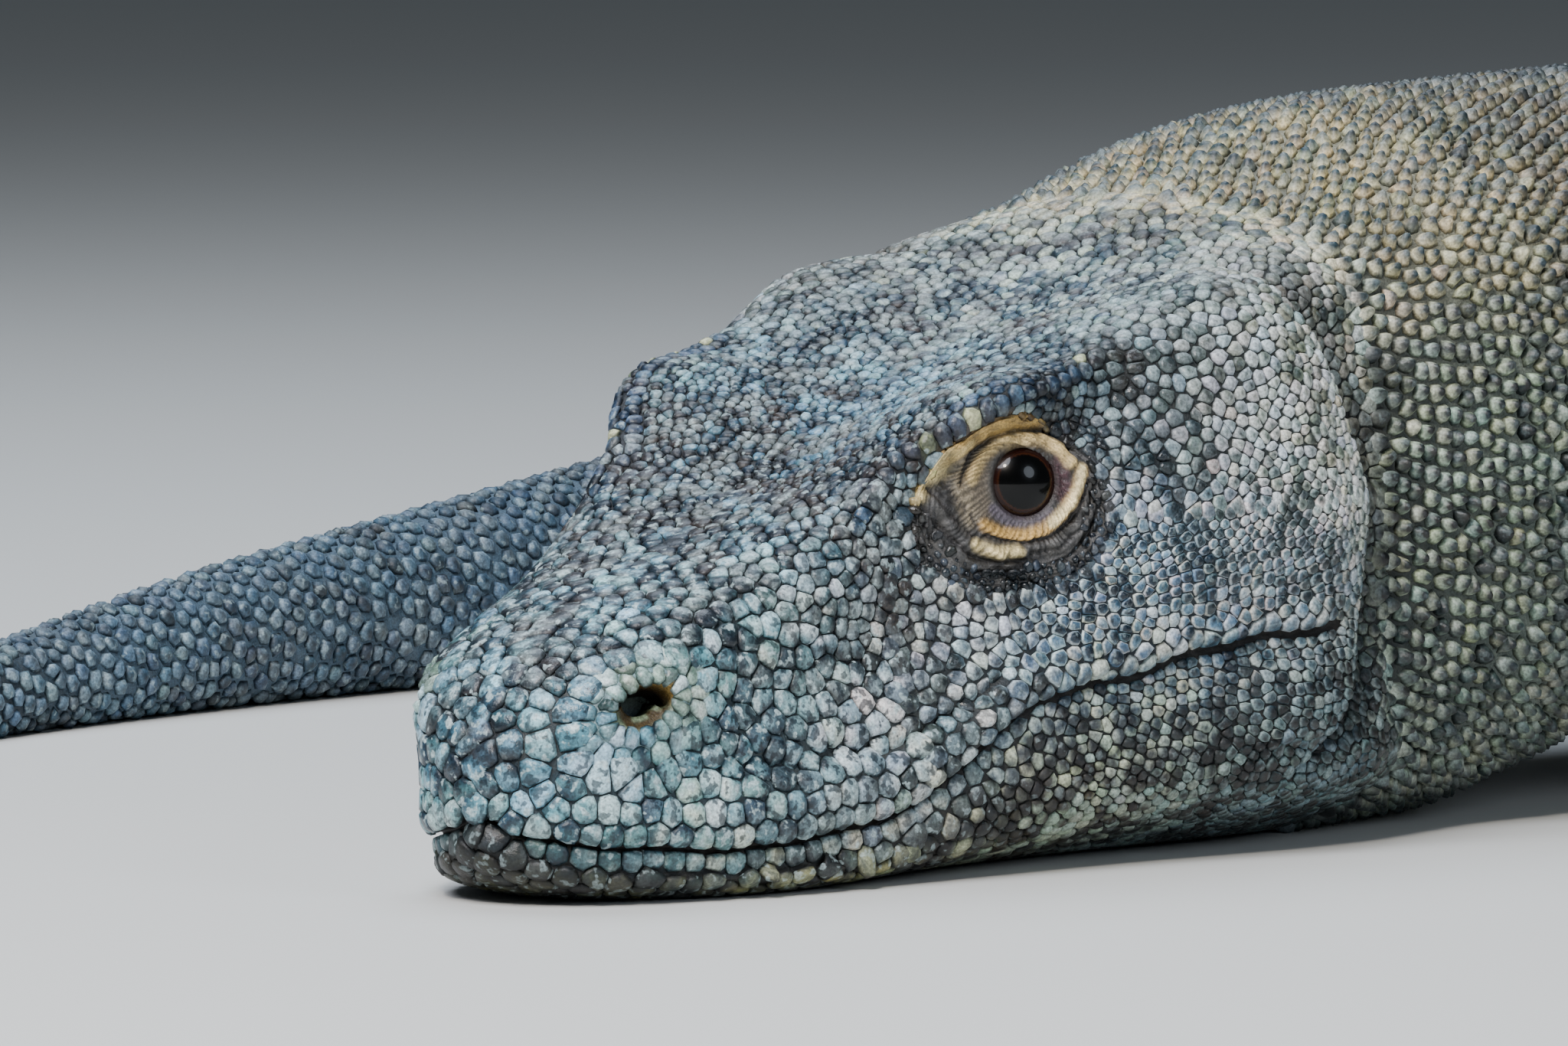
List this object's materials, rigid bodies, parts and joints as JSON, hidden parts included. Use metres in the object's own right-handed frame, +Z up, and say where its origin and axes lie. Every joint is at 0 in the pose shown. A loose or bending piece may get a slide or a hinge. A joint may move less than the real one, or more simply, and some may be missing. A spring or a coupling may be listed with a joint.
{
  "type": "komodo dragon",
  "caption": "Life-size still model of a resting komodo dragon, chin on the ground, body curled so that the tail comes forward beside the head, with scaled hide, claws and glossy eyes.",
  "frame": {"origin": "bottom centre of the model's box, on the ground it lies on", "axes": "+Z up; the head looks along -Y and the animal's left side is towards +X, where the back curls out; the tail comes forward on the -X side"},
  "size_m": [0.791, 1.391, 0.1793],
  "materials": {
    "hide": "dry scaled hide, satin scales with dusty grooves",
    "eye": "wet, dark brown, mirror-smooth",
    "claw_horn": "worn satin horn"
  },
  "bodies": {
    "root": {"belly": "hide", "chest": "hide", "head": "hide", "hips": "hide", "left_eye": "eye", "left_foot": "hide", "left_foot_claw_1": "claw_horn", "left_foot_claw_2": "claw_horn", "left_foot_claw_3": "claw_horn", "left_foot_claw_4": "claw_horn", "left_foot_claw_5": "claw_horn", "left_forearm": "hide", "left_hand": "hide", "left_hand_claw_1": "claw_horn", "left_hand_claw_2": "claw_horn", "left_hand_claw_3": "claw_horn", "left_hand_claw_4": "claw_horn", "left_hand_claw_5": "claw_horn", "left_shin": "hide", "left_thigh": "hide", "left_upper_arm": "hide", "lower_jaw": "hide", "neck": "hide", "right_eye": "eye", "right_foot": "hide", "right_foot_claw_1": "claw_horn", "right_foot_claw_2": "claw_horn", "right_foot_claw_3": "claw_horn", "right_foot_claw_4": "claw_horn", "right_foot_claw_5": "claw_horn", "right_forearm": "hide", "right_hand": "hide", "right_hand_claw_1": "claw_horn", "right_hand_claw_2": "claw_horn", "right_hand_claw_3": "claw_horn", "right_hand_claw_4": "claw_horn", "right_hand_claw_5": "claw_horn", "right_shin": "hide", "right_thigh": "hide", "right_upper_arm": "hide", "tail_end": "hide", "tail_middle": "hide", "tail_root": "hide"}
  },
  "joints": []
}
